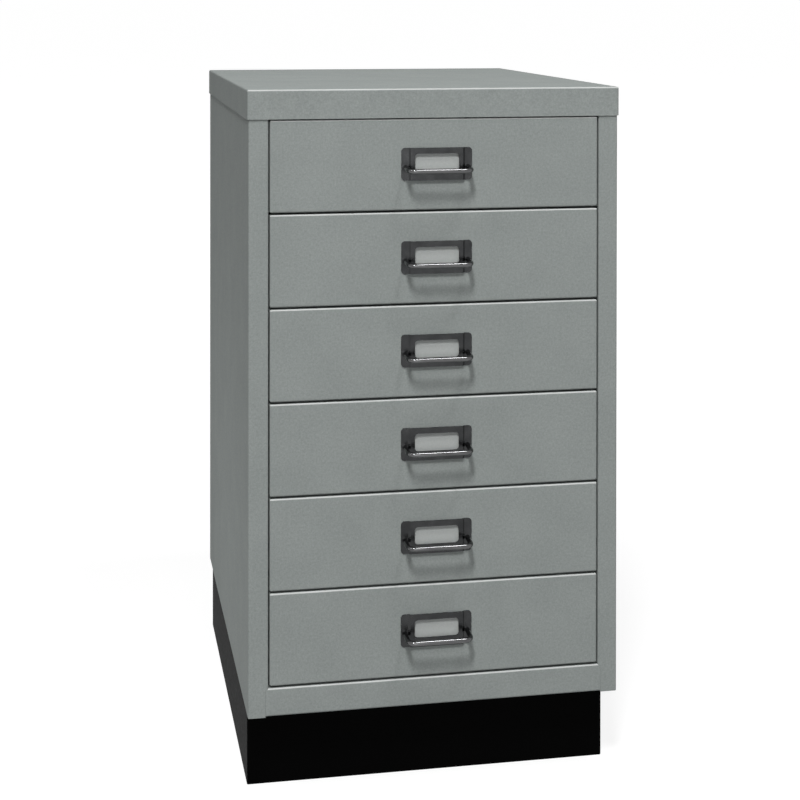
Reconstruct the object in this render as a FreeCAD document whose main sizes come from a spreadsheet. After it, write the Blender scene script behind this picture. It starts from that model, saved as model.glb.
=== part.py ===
import FreeCAD, Part
import math
import os
import Sketcher

# A small sheet-steel cabinet with six shallow drawers, standing on a plinth.
# Lengths are millimetres. The origin lies on the floor under the middle of the overall box,
# +Z is up, the drawer fronts face -Y, and +X is on the right of someone facing the drawers.
# In the code, y is counted from the front plane, which the stiles and drawer fronts share,
# and each piece is then set back or forward so that the origin falls in the middle.

DRAWER_COUNT = 6
SIDES = (("left", -1), ("right", 1))

SIZES = {
    # Carcass
    "cabinet_width": 360.0,
    "cabinet_depth": 470.0,
    "plinth_height": 80.0,
    "rail_height": 27.0,
    "drawer_pitch": 89.0,
    "cap_height": 28.0,
    "cap_clearance": 0.2,
    "cap_radius": 1.8,
    "carcass_sheet": 1.0,
    "fold_radius": 1.6,
    "fit_gap": 0.2,
    "overrun": 2.0,
    # Folded edges of the side panels
    "stile_width": 19.0,
    "stile_return": 13.0,
    "wall_flange": 15.0,
    "flange_end_gap": 2.0,
    # Rails across the front
    "rail_lap": 2.6,
    "rail_raise": 0.8,
    "rail_shelf": 22.0,
    "rail_lip": 9.0,
    "rail_foot": 14.0,
    "base_upturn": 10.0,
    # Uprights that carry the runners
    "upright_crown": 24.0,
    "upright_brim": 10.0,
    "front_upright_place": 40.0,
    "rear_upright_inset": 40.0,
    # Runners, glides and buffers
    "runner_leg": 9.0,
    "runner_front": 14.0,
    "runner_end_gap": 13.0,
    "glide_height": 4.0,
    "glide_length": 30.0,
    "front_glide_setback": 2.0,
    "front_glide_length": 18.0,
    "buffer_length": 8.0,
    "buffer_setback": 1.7,
    "glide_end_gap": 40.7,
    "running_clearance": 0.3,
    # Drawers
    "drawer_sheet": 0.8,
    "drawer_gap": 2.0,
    "side_gap": 1.2,
    "front_thickness": 12.0,
    "front_lip": 8.0,
    "front_radius": 1.6,
    "tray_level": 4.0,
    "tray_headroom": 18.4,
    "tray_clearance": 1.0,
    "tray_radius": 2.0,
    # Handle plate
    "handle_raise": 0.4,
    "plate_width": 69.0,
    "plate_height": 31.2,
    "plate_sheet": 0.8,
    "plate_radius": 3.6,
    "frame_foot": 54.8,
    "frame_width": 50.8,
    "frame_depth": 2.7,
    "frame_fold": 1.0,
    "window_width": 42.8,
    "window_height": 16.6,
    "window_rise": 1.7,
    "window_radius": 3.2,
    # Wire loop of the handle
    "wire_diameter": 4.8,
    "loop_drop": 2.8,
    "loop_arm": 20.6,
    "loop_half_width": 30.4,
    "loop_radius": 6.4,
    "tenon_diameter": 3.2,
    "tenon_clearance": 0.1,
    "tenon_root": 1.0,
    "tenon_head_diameter": 5.8,
    "tenon_head_height": 1.2,
    # Plinth and its fasteners
    "plinth_setback": 40.0,
    "plinth_inset": 3.0,
    "plinth_sheet": 1.2,
    "plinth_top_flange": 15.0,
    "plinth_foot_flange": 12.0,
    "plinth_radius": 1.6,
    "screw_inset": 9.5,
    "front_screw_place": 90.0,
    "rear_screw_inset": 80.0,
    "screw_diameter": 5.0,
    "screw_hole": 5.6,
    "screw_reach": 9.0,
    "head_diameter": 9.2,
    "head_height": 3.6,
    "nut_height": 4.0,
    "thread_clearance": 0.05,
}

# The arms of a handle's loop point this far below level, in degrees.
LOOP_TILT = 7.0
# Two places count as the same within this share of a millimetre.
SAME_PLACE_SHARE = 0.001

doc = FreeCAD.newDocument("drawer_cabinet")
sheet = doc.addObject("Spreadsheet::Sheet", "Sizes")
for row, (size_name, size_value) in enumerate(SIZES.items(), start=1):
    sheet.set(f"A{row}", size_name)
    sheet.set(f"B{row}", str(size_value))
    sheet.setAlias(f"B{row}", size_name)
doc.recompute()


class Dim:
    """A length, kept as its present value and as the sheet formula that gives it."""

    def __init__(self, value, formula):
        self.value = value
        self.formula = formula

    def __add__(self, other):
        return Dim(self.value + other.value, f"({self.formula} + {other.formula})")

    def __sub__(self, other):
        return Dim(self.value - other.value, f"({self.formula} - {other.formula})")

    def __mul__(self, factor):
        return Dim(self.value * factor, f"({self.formula} * {factor})")

    def __truediv__(self, divisor):
        return Dim(self.value / divisor, f"({self.formula} / {divisor})")

    def __neg__(self):
        return self * -1


class SheetSizes:
    """Gives each named size of the sheet as a length."""

    def __getattr__(self, name):
        return Dim(float(sheet.get(name)), f"Sizes.{name}")


ZERO = Dim(0.0, "0")
s = SheetSizes()


def sign(value):
    """The direction of a number: -1, 0 or 1."""
    if abs(value) < SAME_PLACE_SHARE:
        return 0
    return int(math.copysign(1, value))


class Outline:
    """A line of straight runs through corners; a corner between square runs may be an arc."""

    def __init__(self, corners, radius=None, closed=True):
        self.corners = corners
        self.radii = radius if isinstance(radius, list) else [radius] * len(corners)
        self.closed = closed

    def leave(self, index, neighbour):
        """The point where the run from a corner towards its neighbour starts."""
        x, y = self.corners[index]
        radius = self.radii[index]
        if radius is None:
            return x, y
        other_x, other_y = self.corners[neighbour]
        step_x = sign(other_x.value - x.value)
        step_y = sign(other_y.value - y.value)
        return (x + radius * step_x if step_x else x, y + radius * step_y if step_y else y)

    def draw(self, sketch):
        """Draws the runs and arcs, and ties every end of a run to the sheet."""
        count = len(self.corners)
        run_count = count if self.closed else count - 1
        runs = []
        for index in range(run_count):
            after = (index + 1) % count
            runs.append((self.leave(index, after), self.leave(after, index)))
        first = len(sketch.Geometry)
        for start, end in runs:
            sketch.addGeometry(Part.LineSegment(point_of(start), point_of(end)), False)
        ties = []
        for index, (start, end) in enumerate(runs):
            after = (index + 1) % count
            ties += place_ties(first + index, 1, start)
            joined = self.closed or after < run_count
            if self.radii[after] is not None or not joined:
                ties += place_ties(first + index, 2, end)
            if not joined:
                continue
            next_run = (index + 1) % run_count
            if self.radii[after] is None:
                ties.append((meet(first + index, 2, first + next_run, 1), None))
            else:
                ties += draw_corner(sketch, first + index, first + next_run, end, runs[next_run][0],
                                    self.corners[after], self.radii[after])
        add_ties(sketch, ties)


class Circle:
    """A circle about a point."""

    def __init__(self, x, y, radius):
        self.centre = (x, y)
        self.radius = radius

    def draw(self, sketch):
        """Draws the circle, and ties its middle and radius to the sheet."""
        normal = FreeCAD.Vector(0, 0, 1)
        round_line = Part.Circle(point_of(self.centre), normal, self.radius.value)
        index = sketch.addGeometry(round_line, False)
        ties = place_ties(index, 3, self.centre)
        ties.append((Sketcher.Constraint("Radius", index, self.radius.value), self.radius))
        add_ties(sketch, ties)


def point_of(place):
    """A sketch point at a place given by two lengths."""
    return FreeCAD.Vector(place[0].value, place[1].value, 0)


def meet(first, first_end, second, second_end):
    """The tie that makes two ends of sketch lines meet."""
    return Sketcher.Constraint("Coincident", first, first_end, second, second_end)


def place_ties(index, end, place):
    """The ties that hold one point of a sketch line at its distances from the sketch's origin."""
    ties = []
    for kind, axis, value in (("DistanceX", -2, place[0]), ("DistanceY", -1, place[1])):
        if value is ZERO:
            ties.append((Sketcher.Constraint("PointOnObject", index, end, axis), None))
        else:
            ties.append((Sketcher.Constraint(kind, -1, 1, index, end, value.value), value))
    return ties


def draw_corner(sketch, run_in, run_out, start, end, corner, radius):
    """Draws the arc that rounds a square corner, and returns its ties."""
    corner_point = point_of(corner)
    start_point = point_of(start)
    end_point = point_of(end)
    centre = start_point + end_point - corner_point
    turn = (corner_point - start_point).cross(end_point - corner_point).z
    from_point, to_point = (start_point, end_point) if turn > 0 else (end_point, start_point)
    from_angle = math.atan2(from_point.y - centre.y, from_point.x - centre.x)
    to_angle = math.atan2(to_point.y - centre.y, to_point.x - centre.x)
    circle = Part.Circle(centre, FreeCAD.Vector(0, 0, 1), radius.value)
    arc = sketch.addGeometry(Part.ArcOfCircle(circle, from_angle, to_angle), False)
    entry, leaving = (1, 2) if turn > 0 else (2, 1)
    return [
        (meet(run_in, 2, arc, entry), None),
        (meet(run_out, 1, arc, leaving), None),
        (Sketcher.Constraint("Radius", arc, radius.value), radius),
    ]


def add_ties(sketch, ties):
    """Adds ties to a sketch and binds each one that has a length to the sheet."""
    indices = sketch.addConstraint([tie for tie, _ in ties])
    for index, (_, value) in zip(indices, ties):
        if value is not None:
            sketch.setExpression(f"Constraints[{index}]", value.formula)


def rectangle(x_low, x_high, y_low, y_high, radius=None):
    """The outline of a rectangle between two places along each axis of a sketch."""
    return Outline([(x_low, y_low), (x_high, y_low), (x_high, y_high), (x_low, y_high)], radius)


def new_body(label):
    """A new piece, named as its file will be."""
    body = doc.addObject("PartDesign::Body", label)
    body.Label = label
    return body


def new_sketch(body, name, plane, offset):
    """A sketch on one of the body's own origin planes, moved along that plane's normal."""
    planes = [item for item in body.Origin.OriginFeatures if item.Role == f"{plane}_Plane"]
    sketch = body.newObject("Sketcher::SketchObject", f"{name}_sketch")
    sketch.AttachmentSupport = [(planes[0], "")]
    sketch.MapMode = "FlatFace"
    if offset is not ZERO:
        sketch.setExpression("AttachmentOffset.Base.z", offset.formula)
    return sketch


def prism(body, name, plane, outlines, low, high, cut=False):
    """Adds or cuts outlines drawn square to an axis, from the place low to the place high on it.

    The normal of the XZ plane points along -Y, so there the sketch lies at the high place."""
    offset = -high if plane == "XZ" else low
    sketch = new_sketch(body, name, plane, offset)
    for outline in outlines:
        outline.draw(sketch)
    feature = body.newObject("PartDesign::Pocket" if cut else "PartDesign::Pad", name)
    feature.Profile = sketch
    feature.Type = "Length"
    feature.Reversed = cut
    feature.setExpression("Length", (high - low).formula)
    return feature


def lies_at(edge, x=None, y=None, z=None):
    """Whether both ends of an edge have the given places, where they are given."""
    for vertex in edge.Vertexes:
        for place, wanted in zip(vertex.Point, (x, y, z)):
            if wanted is not None and abs(place - wanted.value) > SAME_PLACE_SHARE:
                return False
    return True


def round_edges(body, name, radius, places):
    """Rounds the edges that lie at any of the given places."""
    doc.recompute()
    base = body.Tip
    names = []
    for index, edge in enumerate(base.Shape.Edges, start=1):
        if any(lies_at(edge, *place) for place in places):
            names.append(f"Edge{index}")
    fillet = body.newObject("PartDesign::Fillet", name)
    fillet.Base = (base, names)
    fillet.setExpression("Radius", radius.formula)


def block(name, x_range, y_range, z_range):
    """A plain box between two places on each axis."""
    box = doc.addObject("Part::Box", name)
    ranges = (("Length", "x", x_range), ("Width", "y", y_range), ("Height", "z", z_range))
    for extent, axis, (low, high) in ranges:
        box.setExpression(extent, (high - low).formula)
        box.setExpression(f"Placement.Base.{axis}", low.formula)
    return box


def side_range(side, inner, outer):
    """The two places, in rising order, of a stretch given by its distances from the middle."""
    if side > 0:
        return inner, outer
    return -outer, -inner


def group(label, members):
    """A piece made of several separate solids."""
    compound = doc.addObject("Part::Compound", label)
    compound.Label = label
    compound.Links = members
    return compound


pieces = []


def place(piece, height=ZERO):
    """Puts a finished piece in the frame of the whole part and lists it."""
    piece.setExpression("Placement.Base.y", front_plane.formula)
    if height is not ZERO:
        piece.setExpression("Placement.Base.z", height.formula)
    pieces.append(piece)


# Places that several pieces share

half_width = s.cabinet_width / 2
opening_half = half_width - s.stile_width
front_half = opening_half - s.side_gap
wall_inner = half_width - s.carcass_sheet
carcass_bottom = s.plinth_height
flange_top = carcass_bottom + s.carcass_sheet
base_top = flange_top + s.carcass_sheet
rail_top = carcass_bottom + s.rail_height
first_gap = rail_top + s.drawer_gap / 2
cap_bottom = first_gap + s.drawer_pitch * DRAWER_COUNT
cap_top = cap_bottom + s.cap_height
cap_underside = cap_top - s.carcass_sheet
top_flange_bottom = cap_underside - s.carcass_sheet
cap_reach = s.carcass_sheet + s.cap_clearance
back_flange_front = s.cabinet_depth - s.carcass_sheet
back_panel_front = back_flange_front - s.carcass_sheet
rear_upright_place = s.cabinet_depth - s.rear_upright_inset

# Runner slot and tray flange, counted from the gap line below a drawer
flange_high = s.drawer_pitch - s.tray_headroom
flange_low = flange_high - s.drawer_sheet
flange_middle = flange_high - s.drawer_sheet / 2
slot_half = s.glide_height / 2 + s.running_clearance
slot_low = flange_middle - slot_half
slot_high = flange_middle + slot_half
web_outer = opening_half + s.carcass_sheet
leg_tip = web_outer - s.runner_leg
tray_half = leg_tip - s.tray_clearance
front_glide_front = s.runner_front + s.front_glide_setback
front_glide_back = front_glide_front + s.front_glide_length

# The back ends of the runners, buffers and trays. A drawer slides out until its glides
# reach the front glides.
runner_back = back_panel_front - s.runner_end_gap
buffer_front = runner_back - s.buffer_setback - s.buffer_length
tray_back = buffer_front - s.running_clearance
glide_front = tray_back - s.glide_end_gap - s.glide_length

# Handle: the height of its plate's middle above a drawer's gap line, and its loop's front
handle_height = s.drawer_pitch / 2 + s.handle_raise
loop_front = s.loop_arm * math.cos(math.radians(LOOP_TILT)) + s.wire_diameter / 2

# The front plane's place when the origin is in the middle of the overall depth
front_plane = (loop_front - s.cabinet_depth - cap_reach) / 2

# Plinth and its fasteners
plinth_half = half_width - s.plinth_inset
plinth_back = s.cabinet_depth - s.plinth_inset
plinth_flange_bottom = s.plinth_height - s.plinth_sheet
screw_x = half_width - s.screw_inset
screw_places = (s.front_screw_place, s.cabinet_depth - s.rear_screw_inset)


def drawer_floor(number):
    """The height of the gap line below a drawer; the top drawer is number 1."""
    return first_gap + s.drawer_pitch * (DRAWER_COUNT - number)


def screw_circles(sides):
    """The screw holes along the bottom flanges of the given sides."""
    radius = s.screw_hole / 2
    return [Circle(screw_x * side, y, radius) for side in sides for y in screw_places]


def side_panel(name, side):
    """A wall with its front stile, back flange, and flanges along its bottom and top edge."""
    body = new_body(f"side_panel_{name}")
    stile_back = opening_half + s.carcass_sheet
    section = [
        (opening_half, ZERO),
        (half_width, ZERO),
        (half_width, s.cabinet_depth),
        (half_width - s.wall_flange, s.cabinet_depth),
        (half_width - s.wall_flange, back_flange_front),
        (wall_inner, back_flange_front),
        (wall_inner, s.carcass_sheet),
        (stile_back, s.carcass_sheet),
        (stile_back, s.stile_return),
        (opening_half, s.stile_return),
    ]
    wall = Outline([(x * side, y) for x, y in section])
    prism(body, f"wall_{name}", "XY", [wall], carcass_bottom, cap_underside)
    x_range = side_range(side, half_width - s.wall_flange, half_width)
    flange_front = s.stile_return + s.flange_end_gap
    flange_back = s.cabinet_depth - s.wall_flange - s.flange_end_gap
    flange = rectangle(*x_range, flange_front, flange_back)
    prism(body, f"bottom_flange_{name}", "XY", [flange], carcass_bottom, flange_top)
    prism(body, f"top_flange_{name}", "XY", [flange], top_flange_bottom, cap_underside)
    notch_edge = opening_half - s.overrun
    lap_edge = opening_half + s.rail_lap
    notch = [
        (notch_edge, carcass_bottom - s.overrun),
        (lap_edge, carcass_bottom - s.overrun),
        (lap_edge, rail_top - s.rail_lap),
        (opening_half, rail_top),
        (notch_edge, rail_top),
    ]
    notch_outline = Outline([(x * side, z) for x, z in notch])
    prism(body, f"rail_notch_{name}", "XZ", [notch_outline], -s.overrun,
          s.stile_return + s.overrun, cut=True)
    prism(body, f"screw_holes_{name}", "XY", screw_circles([side]),
          carcass_bottom - s.overrun, flange_top + s.overrun, cut=True)
    folds = [
        (half_width * side, ZERO),
        (opening_half * side, ZERO),
        (half_width * side, s.cabinet_depth),
    ]
    round_edges(body, f"wall_folds_{name}", s.fold_radius, folds)
    place(body)


def top_cap():
    """The lid: a shallow pan turned over the top of the carcass."""
    body = new_body("top_cap")
    x_high = half_width + cap_reach
    y_low = -cap_reach
    y_high = s.cabinet_depth + cap_reach
    prism(body, "cap_block", "XY", [rectangle(-x_high, x_high, y_low, y_high)], cap_bottom, cap_top)
    corners = [(x, y, None) for x in (-x_high, x_high) for y in (y_low, y_high)]
    top_edges = [(None, None, cap_top)]
    round_edges(body, "cap_folds", s.cap_radius, corners + top_edges)
    inner = rectangle(-(x_high - s.carcass_sheet), x_high - s.carcass_sheet,
                      y_low + s.carcass_sheet, y_high - s.carcass_sheet)
    prism(body, "cap_hollow", "XY", [inner], cap_bottom - s.overrun, cap_underside, cut=True)
    place(body)


def base_panel():
    """The floor of the carcass, turned up along its front and back."""
    body = new_body("base_panel")
    front = s.rail_foot + s.fit_gap
    up = base_top + s.base_upturn
    section = Outline([
        (front, flange_top),
        (back_panel_front, flange_top),
        (back_panel_front, up),
        (back_panel_front - s.carcass_sheet, up),
        (back_panel_front - s.carcass_sheet, base_top),
        (front + s.carcass_sheet, base_top),
        (front + s.carcass_sheet, up),
        (front, up),
    ])
    x_high = wall_inner - s.fit_gap
    prism(body, "base_tray", "YZ", [section], -x_high, x_high)
    prism(body, "base_holes", "XY", screw_circles([-1, 1]), flange_top - s.overrun,
          base_top + s.overrun, cut=True)
    place(body)


def back_panel():
    """The flat sheet that closes the back, held against the side panels' back flanges."""
    body = new_body("back_panel")
    x_high = wall_inner - s.fit_gap
    outline = rectangle(-x_high, x_high, base_top, top_flange_bottom)
    prism(body, "back_sheet", "XZ", [outline], back_panel_front, back_flange_front)
    place(body)


def bottom_rail():
    """The rail under the lowest drawer, let into the stiles, with a shelf folded back at its top."""
    body = new_body("bottom_rail")
    low = carcass_bottom + s.rail_raise
    shelf_bottom = rail_top - s.carcass_sheet
    foot_top = low + s.carcass_sheet
    section = Outline([
        (ZERO, low),
        (s.rail_foot, low),
        (s.rail_foot, foot_top),
        (s.carcass_sheet, foot_top),
        (s.carcass_sheet, shelf_bottom),
        (s.rail_shelf - s.carcass_sheet, shelf_bottom),
        (s.rail_shelf - s.carcass_sheet, rail_top - s.rail_lip),
        (s.rail_shelf, rail_top - s.rail_lip),
        (s.rail_shelf, rail_top),
        (ZERO, rail_top),
    ])
    x_high = opening_half + s.rail_lap - s.fit_gap
    prism(body, "rail_strip", "YZ", [section], -x_high, x_high)
    for name, side in SIDES:
        corner = Outline([
            ((opening_half - s.fit_gap) * side, rail_top),
            ((x_high + s.overrun) * side, rail_top - s.rail_lap - s.overrun),
            ((x_high + s.overrun) * side, rail_top + s.overrun),
            ((opening_half - s.fit_gap) * side, rail_top + s.overrun),
        ])
        prism(body, f"rail_corner_{name}", "XZ", [corner], -s.overrun,
              s.rail_shelf + s.overrun, cut=True)
    round_edges(body, "rail_folds", s.fold_radius, [(None, ZERO, rail_top), (None, ZERO, low)])
    place(body)


def top_rail():
    """The channel between the stiles behind the cap's front skirt."""
    body = new_body("top_rail")
    low = cap_bottom + s.drawer_gap / 2
    section = Outline([
        (ZERO, low),
        (s.rail_shelf, low),
        (s.rail_shelf, low + s.rail_lip),
        (s.rail_shelf - s.carcass_sheet, low + s.rail_lip),
        (s.rail_shelf - s.carcass_sheet, low + s.carcass_sheet),
        (s.carcass_sheet, low + s.carcass_sheet),
        (s.carcass_sheet, top_flange_bottom),
        (s.rail_shelf, top_flange_bottom),
        (s.rail_shelf, cap_underside),
        (ZERO, cap_underside),
    ])
    prism(body, "header_strip", "YZ", [section], -opening_half, opening_half)
    round_edges(body, "header_fold", s.fold_radius, [(None, ZERO, low)])
    place(body)


def upright(name, side, label, middle):
    """A hat-section post on the inside of a side panel, which carries the runners."""
    body = new_body(f"{label}_upright_{name}")
    crown = s.upright_crown / 2
    brim = crown + s.upright_brim
    wall = wall_inner
    flat = wall - s.carcass_sheet
    top = web_outer
    under = top + s.carcass_sheet
    section = [
        (wall, middle - brim),
        (flat, middle - brim),
        (flat, middle - crown),
        (top, middle - crown),
        (top, middle + crown),
        (flat, middle + crown),
        (flat, middle + brim),
        (wall, middle + brim),
        (wall, middle + crown - s.carcass_sheet),
        (under, middle + crown - s.carcass_sheet),
        (under, middle - crown + s.carcass_sheet),
        (wall, middle - crown + s.carcass_sheet),
    ]
    hat = Outline([(x * side, y) for x, y in section])
    prism(body, f"{label}_hat_{name}", "XY", [hat], base_top, top_flange_bottom)
    place(body)


def runner(name, side, number):
    """A channel, open towards the drawer, in which one flange of a tray slides."""
    body = new_body(f"runner_{name}_{number}")
    web_inner = opening_half
    low = slot_low - s.carcass_sheet
    high = slot_high + s.carcass_sheet
    section = [
        (leg_tip, low),
        (web_outer, low),
        (web_outer, high),
        (leg_tip, high),
        (leg_tip, slot_high),
        (web_inner, slot_high),
        (web_inner, slot_low),
        (leg_tip, slot_low),
    ]
    channel = Outline([(x * side, z) for x, z in section])
    prism(body, f"channel_{name}_{number}", "XZ", [channel], s.runner_front, runner_back)
    place(body, drawer_floor(number))


def runner_pads():
    """The front glides that the trays slide over, and the buffers at the back of the runners."""
    glides = []
    buffers = []
    glide_top = flange_low - s.running_clearance
    for number in range(1, DRAWER_COUNT + 1):
        floor = drawer_floor(number)
        for name, side in SIDES:
            x_range = side_range(side, leg_tip + s.running_clearance, opening_half)
            glides.append(block(f"front_glide_{name}_{number}", x_range,
                                (front_glide_front, front_glide_back),
                                (floor + slot_low, floor + glide_top)))
            buffers.append(block(f"rear_buffer_{name}_{number}", x_range,
                                 (buffer_front, buffer_front + s.buffer_length),
                                 (floor + slot_low, floor + slot_high)))
    place(group("front_glides", glides))
    place(group("rear_buffers", buffers))


def plinth():
    """The ring that the carcass stands on, folded inwards along its top and its foot."""
    body = new_body("plinth")
    outer = rectangle(-plinth_half, plinth_half, s.plinth_setback, plinth_back)
    walls = inset_ring(s.plinth_sheet)
    prism(body, "plinth_walls", "XY", [outer, walls], ZERO, s.plinth_height)
    prism(body, "plinth_top", "XY", [outer, inset_ring(s.plinth_top_flange)],
          plinth_flange_bottom, s.plinth_height)
    prism(body, "plinth_foot", "XY", [outer, inset_ring(s.plinth_foot_flange)], ZERO, s.plinth_sheet)
    prism(body, "plinth_holes", "XY", screw_circles([-1, 1]), plinth_flange_bottom - s.overrun,
          s.plinth_height + s.overrun, cut=True)
    corners = [(x, y, None) for x in (-plinth_half, plinth_half)
               for y in (s.plinth_setback, plinth_back)]
    round_edges(body, "plinth_folds", s.plinth_radius, corners)
    place(body)


def inset_ring(inset):
    """The plinth's outline drawn in by a distance."""
    return rectangle(-(plinth_half - inset), plinth_half - inset,
                     s.plinth_setback + inset, plinth_back - inset)


def plinth_fasteners():
    """The screws up through the plinth's top flange, and the nuts on the carcass floor."""
    screws = []
    nuts = []
    for name, side in SIDES:
        for count, y in enumerate(screw_places, start=1):
            tag = f"{name}_{count}"
            head = hexagon(f"head_{tag}", screw_x * side, y, plinth_flange_bottom - s.head_height,
                           s.head_height)
            shank = rod(f"shank_{tag}", screw_x * side, y, plinth_flange_bottom - s.head_height / 2,
                        s.screw_diameter / 2, s.head_height / 2 + s.screw_reach)
            screw = doc.addObject("Part::Fuse", f"screw_{tag}")
            screw.Base = head
            screw.Tool = shank
            screws.append(screw)
            nut_block = hexagon(f"nut_block_{tag}", screw_x * side, y, base_top, s.nut_height)
            nut_bore = rod(f"nut_bore_{tag}", screw_x * side, y, base_top - s.overrun,
                           s.screw_diameter / 2 + s.thread_clearance,
                           s.nut_height + s.overrun * 2)
            nut = doc.addObject("Part::Cut", f"nut_{tag}")
            nut.Base = nut_block
            nut.Tool = nut_bore
            nuts.append(nut)
    place(group("plinth_screws", screws))
    place(group("plinth_nuts", nuts))


def stand(solid, x, y, z, height):
    """Stands a turned or six-sided solid upright at a place."""
    for axis, value in (("x", x), ("y", y), ("z", z)):
        solid.setExpression(f"Placement.Base.{axis}", value.formula)
    solid.setExpression("Height", height.formula)
    return solid


def hexagon(name, x, y, z, height):
    """A hexagonal head or nut standing on a height."""
    prism_solid = doc.addObject("Part::Prism", name)
    prism_solid.Polygon = 6
    prism_solid.setExpression("Circumradius", (s.head_diameter / 2).formula)
    return stand(prism_solid, x, y, z, height)


def rod(name, x, y, z, radius, height):
    """A plain upright cylinder."""
    cylinder = doc.addObject("Part::Cylinder", name)
    cylinder.setExpression("Radius", radius.formula)
    return stand(cylinder, x, y, z, height)


def drawer_tray(number):
    """The open tray of a drawer, with a flange along each side that slides in its runner."""
    body = new_body(f"drawer_tray_{number}")
    front = s.front_thickness
    inner = tray_half - s.drawer_sheet
    outer_block = rectangle(-tray_half, tray_half, front, tray_back)
    prism(body, f"tray_block_{number}", "XY", [outer_block], s.tray_level, flange_high)
    upright_corners = [(x, y, None) for x in (-tray_half, tray_half) for y in (front, tray_back)]
    round_edges(body, f"tray_outside_{number}", s.tray_radius,
                upright_corners + [(None, None, s.tray_level)])
    hollow = rectangle(-inner, inner, front + s.drawer_sheet, tray_back - s.drawer_sheet,
                       s.tray_radius - s.drawer_sheet)
    prism(body, f"tray_hollow_{number}", "XY", [hollow], s.tray_level + s.drawer_sheet,
          flange_high + s.overrun, cut=True)
    for name, side in SIDES:
        x_range = side_range(side, tray_half - s.drawer_sheet, front_half)
        flange = rectangle(*x_range, front + s.tray_radius, tray_back)
        prism(body, f"tray_flange_{name}_{number}", "XY", [flange], flange_low, flange_high)
    place(body, drawer_floor(number))


def drawer_front(number):
    """The folded front of a drawer: a shallow pan with a lip turned in around its back."""
    body = new_body(f"drawer_front_{number}")
    low = s.drawer_gap / 2
    high = s.drawer_pitch - s.drawer_gap / 2
    outer = rectangle(-front_half, front_half, low, high)
    prism(body, f"front_block_{number}", "XZ", [outer], ZERO, s.front_thickness)
    side_corners = [(x, None, z) for x in (-front_half, front_half) for z in (low, high)]
    round_edges(body, f"front_folds_{number}", s.front_radius, side_corners + [(None, ZERO, None)])
    for name, inset, back in (("cavity", s.drawer_sheet, s.front_thickness - s.drawer_sheet),
                              ("mouth", s.front_lip, s.front_thickness + s.overrun)):
        hollow = rectangle(-(front_half - inset), front_half - inset, low + inset, high - inset)
        prism(body, f"front_{name}_{number}", "XZ", [hollow], s.drawer_sheet, back, cut=True)
    prism(body, f"front_holes_{number}", "XZ", tenon_holes(handle_height), -s.overrun,
          s.drawer_sheet + s.overrun, cut=True)
    place(body, drawer_floor(number))


def tenon_holes(height):
    """The two holes for the ends of a handle's loop; height is that of the plate's middle."""
    radius = s.tenon_diameter / 2 + s.tenon_clearance
    return [Circle(s.loop_half_width * side, height - s.loop_drop, radius) for _, side in SIDES]


def handle_plate(number):
    """The pressed plate of a handle: two ears, and between them a raised frame with a window.

    The frame is open at its top, where a label card goes in, and closed at its foot."""
    body = new_body(f"handle_plate_{number}")
    half_plate = s.plate_width / 2
    half_height = s.plate_height / 2
    foot = s.frame_foot / 2
    face = s.frame_width / 2
    skin = s.plate_sheet
    inner_foot = foot - skin / 2
    inner_face = face - skin / 2
    frame_back = skin - s.frame_depth
    hat = Outline([
        (-half_plate, -skin),
        (-foot, -skin),
        (-face, -s.frame_depth),
        (face, -s.frame_depth),
        (foot, -skin),
        (half_plate, -skin),
        (half_plate, ZERO),
        (inner_foot, ZERO),
        (inner_face, frame_back),
        (-inner_face, frame_back),
        (-inner_foot, ZERO),
        (-half_plate, ZERO),
    ])
    prism(body, f"plate_hat_{number}", "XY", [hat], -half_height, half_height)
    foot_wall = Outline([
        (-inner_foot, ZERO),
        (-inner_face, frame_back),
        (inner_face, frame_back),
        (inner_foot, ZERO),
    ])
    prism(body, f"plate_foot_{number}", "XY", [foot_wall], -half_height, skin - half_height)
    folds = [(x * side, y, None) for _, side in SIDES
             for x, y in ((face, -s.frame_depth), (foot, -skin))]
    round_edges(body, f"plate_folds_{number}", s.frame_fold, folds)
    ears = [(x, None, z) for x in (-half_plate, half_plate) for z in (-half_height, half_height)]
    round_edges(body, f"plate_ears_{number}", s.plate_radius, ears)
    half_window = s.window_width / 2
    window = rectangle(-half_window, half_window, s.window_rise - s.window_height / 2,
                       s.window_rise + s.window_height / 2, s.window_radius)
    prism(body, f"plate_window_{number}", "XZ", [window], -(s.frame_depth + s.overrun),
          frame_back + skin, cut=True)
    prism(body, f"plate_holes_{number}", "XZ", tenon_holes(ZERO), -(skin + s.overrun), s.overrun,
          cut=True)
    place(body, drawer_floor(number) + handle_height)


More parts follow.
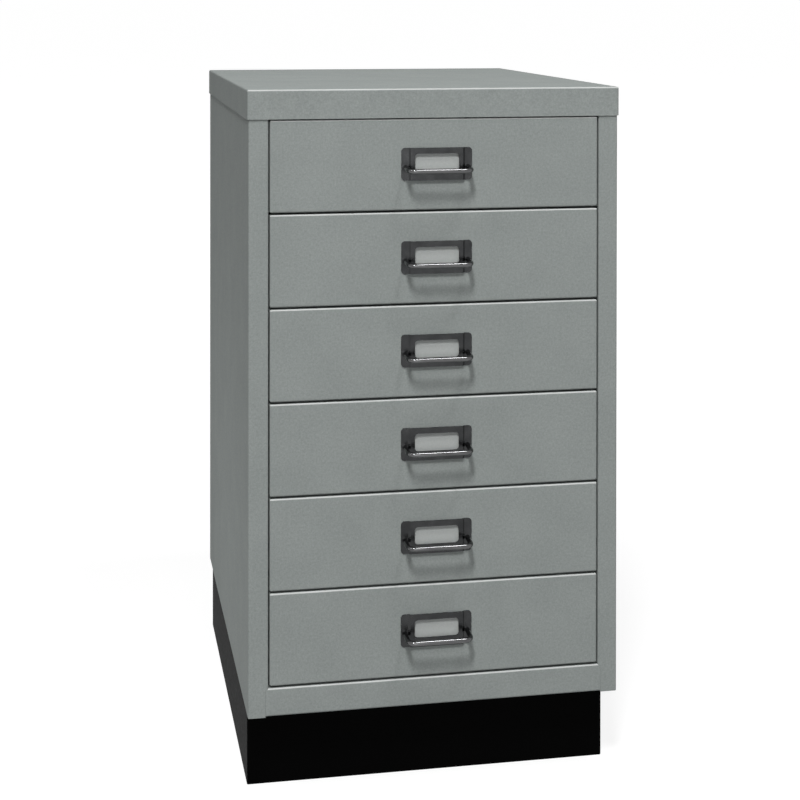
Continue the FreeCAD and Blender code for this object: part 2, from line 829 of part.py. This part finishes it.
def handle_loop(number):
    """The bent wire of a handle; a tenon at each end goes through plate and front to a head."""
    body = new_body(f"handle_loop_{number}")
    half_width = s.loop_half_width
    skin = s.plate_sheet
    path = new_sketch(body, f"loop_path_{number}", "XY", ZERO)
    Outline([
        (-half_width, ZERO),
        (-half_width, -s.loop_arm),
        (half_width, -s.loop_arm),
        (half_width, ZERO),
    ], [None, s.loop_radius, s.loop_radius, None], closed=False).draw(path)
    section = new_sketch(body, f"loop_section_{number}", "XZ", ZERO)
    Circle(-half_width, ZERO, s.wire_diameter / 2).draw(section)
    tilt = FreeCAD.Rotation(FreeCAD.Vector(1, 0, 0), LOOP_TILT)
    for sketch in (path, section):
        sketch.AttachmentOffset = FreeCAD.Placement(FreeCAD.Vector(0, 0, 0), tilt)
    wire = body.newObject("PartDesign::AdditivePipe", f"loop_wire_{number}")
    wire.Profile = section
    wire.Spine = (path, [])
    reach = half_width + s.wire_diameter
    behind = rectangle(-reach, reach, -s.wire_diameter, s.wire_diameter)
    prism(body, f"loop_ends_{number}", "XZ", [behind], -skin, s.overrun, cut=True)
    head_front = s.drawer_sheet
    for name, side in SIDES:
        x = half_width * side
        tenon = Circle(x, ZERO, s.tenon_diameter / 2)
        prism(body, f"tenon_{name}_{number}", "XZ", [tenon], -(skin + s.tenon_root),
              head_front + s.tenon_head_height)
        head = Circle(x, ZERO, s.tenon_head_diameter / 2)
        prism(body, f"tenon_head_{name}_{number}", "XZ", [head], head_front,
              head_front + s.tenon_head_height)
    place(body, drawer_floor(number) + handle_height - s.loop_drop)


def drawer_glides(number):
    """The two clips that guide a tray's flanges in the runners and meet the front glides."""
    clips = []
    floor = drawer_floor(number)
    glide_low = flange_middle - s.glide_height / 2
    glide_high = flange_middle + s.glide_height / 2
    y_range = (glide_front, glide_front + s.glide_length)
    slot_y_range = (glide_front - s.overrun, glide_front + s.glide_length + s.overrun)
    for name, side in SIDES:
        tag = f"{name}_{number}"
        outside = side_range(side, tray_half + s.running_clearance,
                             opening_half - s.running_clearance)
        clip_block = block(f"clip_block_{tag}", outside, y_range,
                           (floor + glide_low, floor + glide_high))
        inside = side_range(side, tray_half - s.overrun, front_half)
        clip_slot = block(f"clip_slot_{tag}", inside, slot_y_range,
                          (floor + flange_low, floor + flange_high))
        clip = doc.addObject("Part::Cut", f"clip_{tag}")
        clip.Base = clip_block
        clip.Tool = clip_slot
        clips.append(clip)
    place(group(f"drawer_glides_{number}", clips))


def check_document():
    """Stops if a feature failed, a cut removed nothing, or a piece isn't a sound solid."""
    for item in doc.Objects:
        if "Invalid" in item.State or "Error" in item.State:
            raise RuntimeError(f"{item.Name} failed: {item.State}")
        if item.TypeId == "PartDesign::Pocket":
            if item.Shape.Volume >= item.BaseFeature.Shape.Volume:
                raise RuntimeError(f"{item.Name} removed nothing")
    for piece in pieces:
        if piece.Shape.isNull() or not piece.Shape.isValid() or not piece.Shape.Solids:
            raise RuntimeError(f"{piece.Label} isn't a sound solid")


top_cap()
base_panel()
back_panel()
bottom_rail()
top_rail()
for side_name, side_sign in SIDES:
    side_panel(side_name, side_sign)
    upright(side_name, side_sign, "front", s.front_upright_place)
    upright(side_name, side_sign, "rear", rear_upright_place)
    for drawer_number in range(1, DRAWER_COUNT + 1):
        runner(side_name, side_sign, drawer_number)
runner_pads()
plinth()
plinth_fasteners()
for drawer_number in range(1, DRAWER_COUNT + 1):
    drawer_tray(drawer_number)
    drawer_front(drawer_number)
    drawer_glides(drawer_number)
    handle_plate(drawer_number)
    handle_loop(drawer_number)

doc.recompute()
check_document()
os.makedirs("parts", exist_ok=True)
for piece in pieces:
    piece.Shape.exportStep(f"parts/{piece.Label}.step")
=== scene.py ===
import math

import bmesh
import bpy
from mathutils import Matrix, Vector


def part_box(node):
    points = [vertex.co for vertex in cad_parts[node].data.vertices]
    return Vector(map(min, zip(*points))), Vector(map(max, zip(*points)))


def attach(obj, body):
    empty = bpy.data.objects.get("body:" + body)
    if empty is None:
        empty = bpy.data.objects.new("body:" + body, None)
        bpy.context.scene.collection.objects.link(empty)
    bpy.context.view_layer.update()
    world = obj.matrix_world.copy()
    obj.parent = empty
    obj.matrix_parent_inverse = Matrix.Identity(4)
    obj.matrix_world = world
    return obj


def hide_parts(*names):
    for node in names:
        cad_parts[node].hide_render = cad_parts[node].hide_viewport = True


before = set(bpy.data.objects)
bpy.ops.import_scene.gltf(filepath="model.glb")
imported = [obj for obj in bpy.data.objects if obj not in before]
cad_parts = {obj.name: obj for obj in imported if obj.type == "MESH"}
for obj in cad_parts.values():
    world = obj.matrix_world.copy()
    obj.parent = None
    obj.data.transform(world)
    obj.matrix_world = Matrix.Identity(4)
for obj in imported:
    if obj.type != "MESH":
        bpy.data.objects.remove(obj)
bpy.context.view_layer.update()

# Metres throughout. The floor is z = 0 and the drawer fronts face -Y. Drawer 1 is the top one.
DRAWERS = range(1, 7)
LOWEST = 6
DRAWER_GAP = 0.002
FRONT_Y, FRONT_LOW_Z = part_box(f"drawer_front_{LOWEST}")[0][1:]
DRAWER_PITCH = (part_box("drawer_front_1")[0].z - FRONT_LOW_Z) / (LOWEST - 1)
# The middle of the gap under the lowest front
LOWEST_GAP_Z = FRONT_LOW_Z - DRAWER_GAP / 2


# Camera: level, with its lens shifted down, so that upright edges stay parallel

LENS_MM = 76.010
SENSOR_MM = 36.0
CAMERA_OFFSET = Vector((-0.33498, -1.57676, 0.751632))
CAMERA_TURN = (math.pi / 2 - 0.0073112, -0.0010587, -0.187799)
CAMERA_SHIFT = (-0.000625, -0.481331)
CLIP_NEAR, CLIP_FAR = 0.05, 8000.0


def link(made):
    bpy.context.scene.collection.objects.link(made)
    return made


camera_data = bpy.data.cameras.new("camera")
camera_data.sensor_width = SENSOR_MM
camera_data.lens = LENS_MM
camera_data.shift_x, camera_data.shift_y = CAMERA_SHIFT
camera_data.clip_start, camera_data.clip_end = CLIP_NEAR, CLIP_FAR
camera = link(bpy.data.objects.new("camera", camera_data))
camera.location = CAMERA_OFFSET + Vector((0, FRONT_Y, 0))
camera.rotation_euler = CAMERA_TURN
bpy.context.scene.camera = camera


# Colours as linear light

def even(level):
    """A neutral grey."""
    return (level, level, level, 1.0)


def from_screen(red, green, blue):
    """A colour written in screen values from 0 to 255."""
    def linear(value):
        share = value / 255
        return share / 12.92 if share <= 0.04045 else ((share + 0.055) / 1.055) ** 2.4
    return (linear(red), linear(green), linear(blue), 1.0)


def brighter(colour, times):
    return tuple(min(1.0, channel * times) for channel in colour[:3]) + (1.0,)


# Node helpers

class Tree:
    """Builds the nodes of one material or world."""

    def __init__(self, owner):
        owner.use_nodes = True
        self.owner = owner
        self.nodes = owner.node_tree.nodes
        self.links = owner.node_tree.links
        self.shader = self.nodes.get("Principled BSDF")

    def node(self, kind, **settings):
        made = self.nodes.new(f"ShaderNode{kind}")
        for key, value in settings.items():
            setattr(made, key, value)
        return made

    def put(self, target, value):
        """Sets a socket to a number or links another socket to it."""
        if isinstance(value, bpy.types.NodeSocket):
            self.links.new(value, target)
        else:
            target.default_value = value

    def place(self):
        """The object's own coordinates in metres."""
        return self.node("TexCoord").outputs["Object"]

    def parts(self, vector):
        """The X, Y and Z of a vector."""
        made = self.node("SeparateXYZ")
        self.put(made.inputs[0], vector)
        return made.outputs[0], made.outputs[1], made.outputs[2]

    def noise(self, scale, detail=2.0, roughness=0.5):
        made = self.node("TexNoise")
        self.put(made.inputs["Vector"], self.place())
        made.inputs["Scale"].default_value = scale
        made.inputs["Detail"].default_value = detail
        made.inputs["Roughness"].default_value = roughness
        return made.outputs["Fac"]

    def math(self, operation, first, second=0.0, clamp=False):
        made = self.node("Math", operation=operation, use_clamp=clamp)
        self.put(made.inputs[0], first)
        self.put(made.inputs[1], second)
        return made.outputs[0]

    def times(self, first, second):
        return self.math("MULTIPLY", first, second)

    def plus(self, first, second):
        return self.math("ADD", first, second)

    def span(self, value, low, high, to_low=0.0, to_high=1.0):
        """Carries a value from one range to another, held inside it."""
        made = self.node("MapRange")
        self.put(made.inputs["Value"], value)
        for key, number in (("From Min", low), ("From Max", high), ("To Min", to_low), ("To Max", to_high)):
            made.inputs[key].default_value = number
        return made.outputs["Result"]

    def spread(self, noise, to_low=0.0, to_high=1.0):
        """The middle of a noise's values, carried to a range."""
        return self.span(noise, 0.3, 0.7, to_low, to_high)

    def mix(self, factor, first, second):
        made = self.node("Mix", data_type="RGBA")
        self.put(made.inputs["Factor"], factor)
        self.put(made.inputs["A"], first)
        self.put(made.inputs["B"], second)
        return made.outputs["Result"]

    def bump(self, height, distance, normal=None):
        made = self.node("Bump")
        self.put(made.inputs["Height"], height)
        made.inputs["Distance"].default_value = distance
        if normal is not None:
            self.put(made.inputs["Normal"], normal)
        return made.outputs["Normal"]

    def edges(self, radius, sharp=0.80, flat=0.985):
        """One along edges and nought on flat faces."""
        bevel = self.node("Bevel", samples=4)
        bevel.inputs["Radius"].default_value = radius
        dot = self.node("VectorMath", operation="DOT_PRODUCT")
        self.put(dot.inputs[0], bevel.outputs["Normal"])
        self.put(dot.inputs[1], self.node("NewGeometry").outputs["Normal"])
        return self.span(dot.outputs["Value"], sharp, flat, 1.0, 0.0)

    def background_rays(self):
        """One for the rays that see the background: from the camera, or off or through a surface."""
        path = self.node("LightPath")
        bent = self.plus(path.outputs["Is Glossy Ray"], path.outputs["Is Transmission Ray"])
        return self.math("ADD", path.outputs["Is Camera Ray"], bent, clamp=True)

    def choose(self, factor, first, second, output):
        """Sends the first or the second shader to an output."""
        made = self.node("MixShader")
        for socket, value in zip(made.inputs, (factor, first, second)):
            self.put(socket, value)
        self.put(self.nodes[output].inputs["Surface"], made.outputs[0])


# Paint

PAINT_EDGE = 0.0009
PAINT_EDGE_WEAR_AND_HIGHLIGHT = 0.2
PAINT_EDGE_SMOOTH = 0.28
# The colour of the painted highlight on each front fold that faces up.
FOLD_HIGHLIGHT_COLOUR = (0.80, 0.81, 0.80, 1.0)
# The field in the windows, painted lighter partly as a blank card's tone and partly as painted light
# against the shade of the plate's frame.
WINDOW_PAINTED_LIGHT = (0.75, 0.76, 0.75, 1.0)
# Half the window field's width and height, and its middle above the gap under its drawer
FIELD_HALF_WIDTH = 0.0231
FIELD_HALF_HEIGHT = 0.0099
FIELD_HEIGHT = 0.0466
FIELD_DEPTH = 0.0003


def soft_limit(tree, value, limit, softness=0.0001):
    """One below a limit and nought above it."""
    return tree.span(value, limit - softness, limit + softness, 1.0, 0.0)


def window_painted_light(tree):
    """One on the drawer fronts behind the windows of the handle plates, nought elsewhere: the mask of the
    field painted lighter there.
    """
    x, y, z = tree.parts(tree.place())
    turns = tree.math("DIVIDE", tree.math("SUBTRACT", z, LOWEST_GAP_Z), DRAWER_PITCH)
    height = tree.times(tree.math("FRACT", turns), DRAWER_PITCH)
    up = tree.math("ABSOLUTE", tree.math("SUBTRACT", height, FIELD_HEIGHT))
    inside = tree.times(soft_limit(tree, tree.math("ABSOLUTE", x), FIELD_HALF_WIDTH),
                        soft_limit(tree, up, FIELD_HALF_HEIGHT))
    return tree.times(inside, soft_limit(tree, y, FRONT_Y + FIELD_DEPTH))


def fold_highlight_mask(tree):
    """One where a fold at the front turns from upright to level, nought elsewhere: the mask of a painted
    highlight on each fold at the front that faces up toward the lamps.
    """
    _, forward, rise = tree.parts(tree.node("NewGeometry").outputs["Normal"])
    turning = tree.times(tree.span(rise, 0.12, 0.40), tree.span(rise, 0.90, 0.99, 1.0, 0.0))
    return tree.times(turning, tree.span(forward, -0.35, -0.15, 1.0, 0.0))


def paint(name, dark, light, roughness, specular, peel, fold_highlight=0.0, windows=0.0):
    """Powder coat: fine orange peel, slight mottling, and thinner, smoother paint along edges, lightened
    there partly as wear and partly as a painted highlight.

    fold_highlight is how bright the painted highlight is on each front fold that faces up, and windows how
    much lighter the field is that shows in the windows of the handle plates, painted partly as a blank
    card's tone and partly as painted light against the frame's shade."""
    tree = Tree(bpy.data.materials.new(name))
    fine = tree.noise(620.0, 3.0, 0.7)
    grain = tree.noise(330.0, 2.0, 0.55)
    cloud = tree.noise(22.0, 4.0, 0.55)
    tone = tree.plus(tree.times(tree.span(fine, 0.32, 0.68), 0.5), tree.times(tree.spread(grain), 0.3))
    tone = tree.plus(tone, tree.times(tree.spread(cloud), 0.2))
    # Edges: lighter partly as wear of thinner paint and partly as a painted highlight, and smoother.
    worn_and_highlit_edges = tree.times(tree.edges(PAINT_EDGE), tree.span(cloud, 0.35, 0.6, 0.35, 1.0))
    colour = tree.mix(tone, dark, light)
    colour = tree.mix(tree.times(worn_and_highlit_edges, PAINT_EDGE_WEAR_AND_HIGHLIGHT), colour, brighter(light, 1.6))
    # Painted highlight on each front fold that faces up toward the lamps.
    if fold_highlight:
        brightened_edges = tree.times(fold_highlight_mask(tree), tree.spread(cloud, fold_highlight * 0.8, fold_highlight))
        colour = tree.mix(brightened_edges, colour, FOLD_HIGHLIGHT_COLOUR)
    # Painted light: the field in the windows is lightened, partly as a blank card's tone and partly against
    # the shade of the plate's frame.
    if windows:
        colour = tree.mix(tree.times(window_painted_light(tree), windows), colour, WINDOW_PAINTED_LIGHT)
    rough = tree.math("SUBTRACT", tree.spread(grain, roughness - 0.05, roughness + 0.05),
                      tree.times(worn_and_highlit_edges, PAINT_EDGE_SMOOTH))
    tree.put(tree.shader.inputs["Base Color"], colour)
    tree.put(tree.shader.inputs["Roughness"], rough)
    tree.shader.inputs["Specular IOR Level"].default_value = specular
    tree.put(tree.shader.inputs["Normal"], tree.bump(grain, peel, tree.bump(fine, peel * 0.4)))
    return tree.owner


# Metal and plastic

METAL_EDGE = 0.0004


def metal(name, dark, light, roughness, scratch, brightened_edges=0.35):
    """Plated steel with faint clouding, fine scratches and brighter edges."""
    tree = Tree(bpy.data.materials.new(name))
    cloud = tree.noise(70.0, 4.0, 0.6)
    fine = tree.noise(1500.0, 3.0, 0.6)
    colour = tree.mix(tree.spread(cloud), dark, light)
    if brightened_edges:
        colour = tree.mix(tree.times(tree.edges(METAL_EDGE), brightened_edges), colour, brighter(light, 1.9))
    rough = tree.plus(tree.spread(cloud, roughness * 0.85, roughness * 1.15),
                      tree.span(fine, 0.4, 0.8, 0.0, roughness * 0.3))
    tree.put(tree.shader.inputs["Base Color"], colour)
    tree.put(tree.shader.inputs["Roughness"], rough)
    tree.shader.inputs["Metallic"].default_value = 1.0
    tree.put(tree.shader.inputs["Normal"], tree.bump(fine, scratch))
    return tree.owner


def nylon(name):
    """Moulded nylon, slightly waxy."""
    tree = Tree(bpy.data.materials.new(name))
    cloud = tree.noise(160.0, 3.0, 0.5)
    fine = tree.noise(1100.0, 2.0, 0.5)
    tree.put(tree.shader.inputs["Base Color"],
             tree.mix(tree.spread(cloud), (0.62, 0.61, 0.56, 1), (0.74, 0.73, 0.69, 1)))
    tree.put(tree.shader.inputs["Roughness"], tree.spread(cloud, 0.34, 0.46))
    tree.shader.inputs["Subsurface Weight"].default_value = 0.15
    tree.shader.inputs["Subsurface Radius"].default_value = (0.0015, 0.0013, 0.001)
    tree.put(tree.shader.inputs["Normal"], tree.bump(fine, 0.00002))
    return tree.owner


GREY_PAINT = dict(dark=from_screen(132, 138, 136), light=from_screen(158, 163, 161), roughness=0.70,
                  specular=0.05, peel=0.00005, fold_highlight=0.55)
materials = {
    "grey_paint": paint("grey_paint", **GREY_PAINT),
    "front_paint": paint("front_paint", **GREY_PAINT, windows=0.31),
    "black_paint": paint("black_paint", even(0.0002), even(0.0007), 0.60, 0.018, 0.00004),
    "plated_steel": metal("plated_steel", (0.030, 0.031, 0.032, 1), (0.048, 0.049, 0.050, 1), 0.22, 2e-6),
    "plated_wire": metal("plated_wire", (0.085, 0.085, 0.087, 1), (0.115, 0.115, 0.117, 1), 0.09, 2e-7,
                         brightened_edges=0.0),
    "zinc_steel": metal("zinc_steel", (0.40, 0.41, 0.42, 1), (0.56, 0.56, 0.55, 1), 0.36, 8e-6),
    "nylon": nylon("nylon"),
}

# How a node's name starts, and its finish; every other node is grey paint
FINISHES = (
    (("handle_loop",), "plated_wire"),
    (("handle_plate",), "plated_steel"),
    (("runner", "plinth_screws", "plinth_nuts"), "zinc_steel"),
    (("drawer_glides", "front_glides", "rear_buffers"), "nylon"),
    (("plinth",), "black_paint"),
    (("drawer_front",), "front_paint"),
)

for name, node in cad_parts.items():
    finish = next((made for starts, made in FINISHES if name.startswith(starts)), "grey_paint")
    if not node.material_slots:
        node.data.materials.append(materials[finish])
    for slot in node.material_slots:
        slot.material = materials[finish]


# Wire loops of the handles, swept finely so that light runs along them unbroken

LOOP_HALF_WIDTH = 0.0304
LOOP_ARM = 0.0206
LOOP_BEND = 0.0064
LOOP_TILT = math.radians(7.0)
LOOP_DROP = 0.0028
HANDLE_HEIGHT = 0.0449
WIRE_RADIUS = 0.0024
PLATE_SHEET = 0.0008
FRONT_SHEET = 0.0008
TENON_RADIUS = 0.0016
HEAD_RADIUS = 0.0029
HEAD_BACK = FRONT_SHEET + 0.0012
HEAD_CHAMFER_DEPTH = 0.0003
HEAD_CHAMFER = 0.0005
WIRE_SIDES = 40
TENON_SIDES = 24
BEND_STEPS = 20
ARM_STEPS = 4
BAR_STEPS = 8
SHARP_ANGLE = math.radians(35)
RIGHT, FORWARD, UP = Vector((1, 0, 0)), Vector((0, -1, 0)), Vector((0, 0, 1))


def loop_line():
    """The middle line of a loop's wire, seen level: points with the direction at each."""
    run = LOOP_ARM - LOOP_BEND
    root = Vector((-LOOP_HALF_WIDTH, 0, 0))
    left = [(root + FORWARD * run * step / ARM_STEPS, FORWARD) for step in range(ARM_STEPS)]
    middle = root + RIGHT * LOOP_BEND + FORWARD * run
    for step in range(BEND_STEPS + 1):
        angle = math.pi + math.pi / 2 * step / BEND_STEPS
        left.append((middle + LOOP_BEND * Vector((math.cos(angle), math.sin(angle), 0)),
                     Vector((-math.sin(angle), math.cos(angle), 0))))
    right = [(Vector((-point.x, point.y, 0)), Vector((along.x, -along.y, 0)))
             for point, along in reversed(left)]
    reach = LOOP_HALF_WIDTH - LOOP_BEND
    bar = [(Vector((reach * (2 * step / BAR_STEPS - 1), -LOOP_ARM, 0)), RIGHT)
           for step in range(1, BAR_STEPS)]
    return left + bar + right


def add_ring(mesh, centre, across, up, radius, sides):
    turns = [2 * math.pi * step / sides for step in range(sides)]
    return [mesh.verts.new(centre + radius * (math.cos(turn) * across + math.sin(turn) * up))
            for turn in turns]


def close_tube(mesh, rings):
    """Joins rings in line to a closed tube."""
    for first, second in zip(rings, rings[1:]):
        for step in range(len(first)):
            mesh.faces.new((first[step], first[step - 1], second[step - 1], second[step]))
    mesh.faces.new(list(reversed(rings[0])))
    mesh.faces.new(rings[-1])


def add_wire(mesh):
    """The bent wire, with both ends cut off along the handle plate's face."""
    tilt = Matrix.Rotation(LOOP_TILT, 3, "X")
    rings = [add_ring(mesh, tilt @ point, tilt @ along.cross(UP), tilt @ UP, WIRE_RADIUS, WIRE_SIDES)
             for point, along in loop_line()]
    slope = tilt @ -FORWARD
    for vert in rings[0] + rings[-1]:
        vert.co += slope * ((-PLATE_SHEET - vert.co.y) / slope.y)
    close_tube(mesh, rings)


def add_tenon(mesh, x):
    """A turned-down end of the wire, through plate and front to its peened head."""
    outline = ((-PLATE_SHEET, TENON_RADIUS), (FRONT_SHEET, TENON_RADIUS), (FRONT_SHEET, HEAD_RADIUS),
               (HEAD_BACK - HEAD_CHAMFER_DEPTH, HEAD_RADIUS), (HEAD_BACK, HEAD_RADIUS - HEAD_CHAMFER))
    close_tube(mesh, [add_ring(mesh, Vector((x, y, 0)), RIGHT, UP, radius, TENON_SIDES)
                      for y, radius in outline])


def wire_loop(number):
    """One handle's loop in place of its node."""
    mesh = bmesh.new()
    add_wire(mesh)
    add_tenon(mesh, -LOOP_HALF_WIDTH)
    add_tenon(mesh, LOOP_HALF_WIDTH)
    bmesh.ops.recalc_face_normals(mesh, faces=mesh.faces)
    for face in mesh.faces:
        face.smooth = len(face.verts) == 4
    for edge in mesh.edges:
        edge.smooth = edge.calc_face_angle(0.0) < SHARP_ANGLE
    height = LOWEST_GAP_Z + DRAWER_PITCH * (LOWEST - number) + HANDLE_HEIGHT - LOOP_DROP
    bmesh.ops.translate(mesh, verts=mesh.verts, vec=(0, FRONT_Y, height))
    data = bpy.data.meshes.new(f"wire_loop_{number}")
    mesh.to_mesh(data)
    mesh.free()
    data.materials.append(materials["plated_wire"])
    piece = link(bpy.data.objects.new(f"wire_loop_{number}", data))
    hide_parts(f"handle_loop_{number}")
    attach(piece, f"drawer_{number}")


for number in DRAWERS:
    wire_loop(number)


# Floor: pale, near white where it is seen, and it keeps the object's shadow

FLOOR_REACH = 3000.0
FLOOR_DARK, FLOOR_LIGHT = even(0.27), even(0.29)
GLOW_NEAR, GLOW_FAR = 0.82, 0.97
GLOW_FROM, GLOW_TO = 0.5, 3.0


def floor_material():
    tree = Tree(bpy.data.materials.new("studio_floor"))
    tree.nodes.remove(tree.shader)
    lit = tree.node("BsdfDiffuse")
    tree.put(lit.inputs["Color"], tree.mix(tree.spread(tree.noise(3.0, 3.0)), FLOOR_DARK, FLOOR_LIGHT))
    far = tree.node("VectorMath", operation="LENGTH")
    tree.put(far.inputs[0], tree.place())
    glow = tree.node("Emission")
    glow.inputs["Color"].default_value = even(1.0)
    tree.put(glow.inputs["Strength"],
             tree.span(far.outputs["Value"], GLOW_FROM, GLOW_TO, GLOW_NEAR, GLOW_FAR))
    seen = tree.node("AddShader")
    tree.put(seen.inputs[0], lit.outputs[0])
    tree.put(seen.inputs[1], glow.outputs[0])
    tree.choose(tree.background_rays(), lit.outputs[0], seen.outputs[0], "Material Output")
    return tree.owner


FLOOR_CORNERS = [(x * FLOOR_REACH, y * FLOOR_REACH, 0) for x, y in ((-1, -1), (1, -1), (1, 1), (-1, 1))]
floor_mesh = bpy.data.meshes.new("floor")
floor_mesh.from_pydata(FLOOR_CORNERS, [], [(0, 1, 2, 3)])
floor_mesh.materials.append(floor_material())
floor = link(bpy.data.objects.new("floor", floor_mesh))


# World: weak even light on the object, and white where it is seen

WORLD_LEVEL = 0.095

world = bpy.data.worlds.new("studio")
bpy.context.scene.world = world
sky = Tree(world)
light = sky.nodes["Background"]
white = sky.node("Background")
for background, strength in ((light, WORLD_LEVEL), (white, 1.0)):
    background.inputs["Color"].default_value = even(1.0)
    background.inputs["Strength"].default_value = strength
sky.choose(sky.background_rays(), light.outputs[0], white.outputs[0], "World Output")


# Lamps

FRONT_AIM = Vector((0.0, FRONT_Y, 0.38))
LOW_LEFT_AIM = Vector((-0.18, 0.0, 0.14))
# name, aim, direction from the aim, distance, width, height, watts
LIGHTS = (
    ("lamp_front", FRONT_AIM, (-0.192, -0.578, 0.793), 6.0, 0.85, 1.50, 246.0),
    ("lamp_left", FRONT_AIM, (-0.54, -0.29, 0.80), 6.0, 0.42, 0.42, 26.0),
    ("lamp_right", FRONT_AIM, (0.225, -0.30, 0.92), 6.0, 1.10, 0.50, 86.0),
    ("fill_front", FRONT_AIM, (-0.05, -0.98, 0.15), 6.0, 3.0, 3.0, 73.0),
    ("fill_low", LOW_LEFT_AIM, (-1.0, 0.0, 0.0), 0.45, 0.60, 0.20, 0.48),
)

for name, aim, direction, distance, width, height, watts in LIGHTS:
    data = bpy.data.lights.new(name, "AREA")
    data.shape = "ELLIPSE"
    data.size, data.size_y = width, height
    data.energy = watts
    lamp = link(bpy.data.objects.new(name, data))
    toward = Vector(direction).normalized()
    lamp.location = aim + toward * distance
    lamp.rotation_euler = toward.to_track_quat("Z", "Y").to_euler()
    lamp.visible_camera = False

bpy.context.scene.view_settings.view_transform = "Standard"
